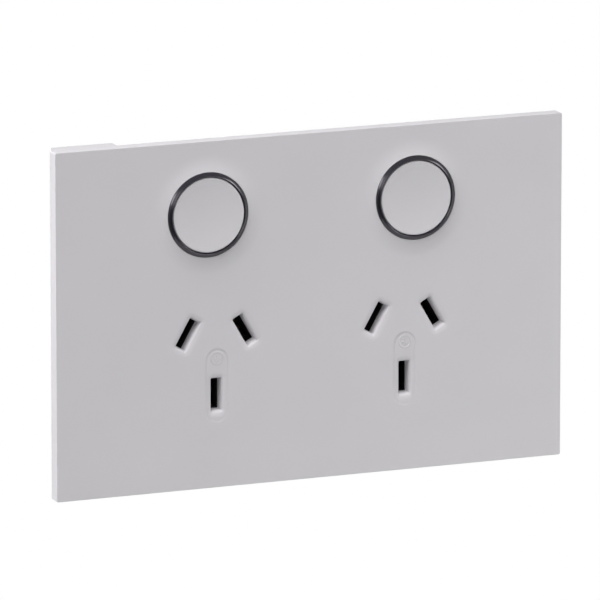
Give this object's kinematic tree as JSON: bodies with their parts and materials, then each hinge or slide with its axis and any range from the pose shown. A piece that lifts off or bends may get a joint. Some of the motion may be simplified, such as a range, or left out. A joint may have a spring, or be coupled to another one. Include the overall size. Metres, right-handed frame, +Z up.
{
  "type": "double wall socket",
  "caption": "Flat rectangular wall plate with flat-pin mains sockets side by side, each switched by a round dished push button in a dark ring on a raised flare",
  "frame": {"origin": "centre of the two wall screws on the wall's surface", "axes": "+X right and +Z up as seen from the room, +Y into the wall, so the front faces -Y"},
  "size_m": [0.124, 0.0336, 0.08],
  "materials": {
    "white_plastic": "fine satin moulding, faintly cool white",
    "ring_plastic": "polished smoked black",
    "frame_plastic": "plain white moulding",
    "housing_plastic": "black moulding",
    "rear_plastic": "pale grey moulding",
    "plunger_plastic": "natural white moulding",
    "brass": "stamped or drawn brass",
    "contact_silver": "silver contact tip",
    "spring_steel": "drawn wire",
    "plated_steel": "zinc plated"
  },
  "bodies": {
    "socket": {"front_cover": "white_plastic", "left_earth_insert": "white_plastic", "right_earth_insert": "white_plastic", "left_halo_ring": "ring_plastic", "right_halo_ring": "ring_plastic", "mounting_frame": "frame_plastic", "socket_housing": "housing_plastic", "rear_cover": "rear_plastic", "left_fixed_rivets": "contact_silver", "left_return_spring": "spring_steel", "left_active_contact": "brass", "right_fixed_rivets": "contact_silver", "right_return_spring": "spring_steel", "right_active_contact": "brass", "neutral_strip": "brass", "earth_strip": "brass", "active_feed_strip": "brass", "active_terminal": "brass", "neutral_terminal": "brass", "earth_terminal": "brass", "terminal_screws": "plated_steel", "rear_cover_screws": "plated_steel", "wall_screws": "plated_steel"},
    "left_button": {"left_button_cap": "white_plastic", "left_plunger": "plunger_plastic", "left_contact_bridge": "brass", "left_bridge_rivets": "contact_silver"},
    "right_button": {"right_button_cap": "white_plastic", "right_plunger": "plunger_plastic", "right_contact_bridge": "brass", "right_bridge_rivets": "contact_silver"}
  },
  "joints": [
    {"name": "left_button_press", "type": "slide", "parent": "socket", "child": "left_button", "axis": [0, 1, 0], "range_m": [0, 0.002], "stiffness_N_per_m": 900, "springref_m": -0.003, "deforming": ["left_return_spring"]},
    {"name": "right_button_press", "type": "slide", "parent": "socket", "child": "right_button", "axis": [0, 1, 0], "range_m": [0, 0.002], "stiffness_N_per_m": 900, "springref_m": -0.003, "deforming": ["right_return_spring"]}
  ]
}
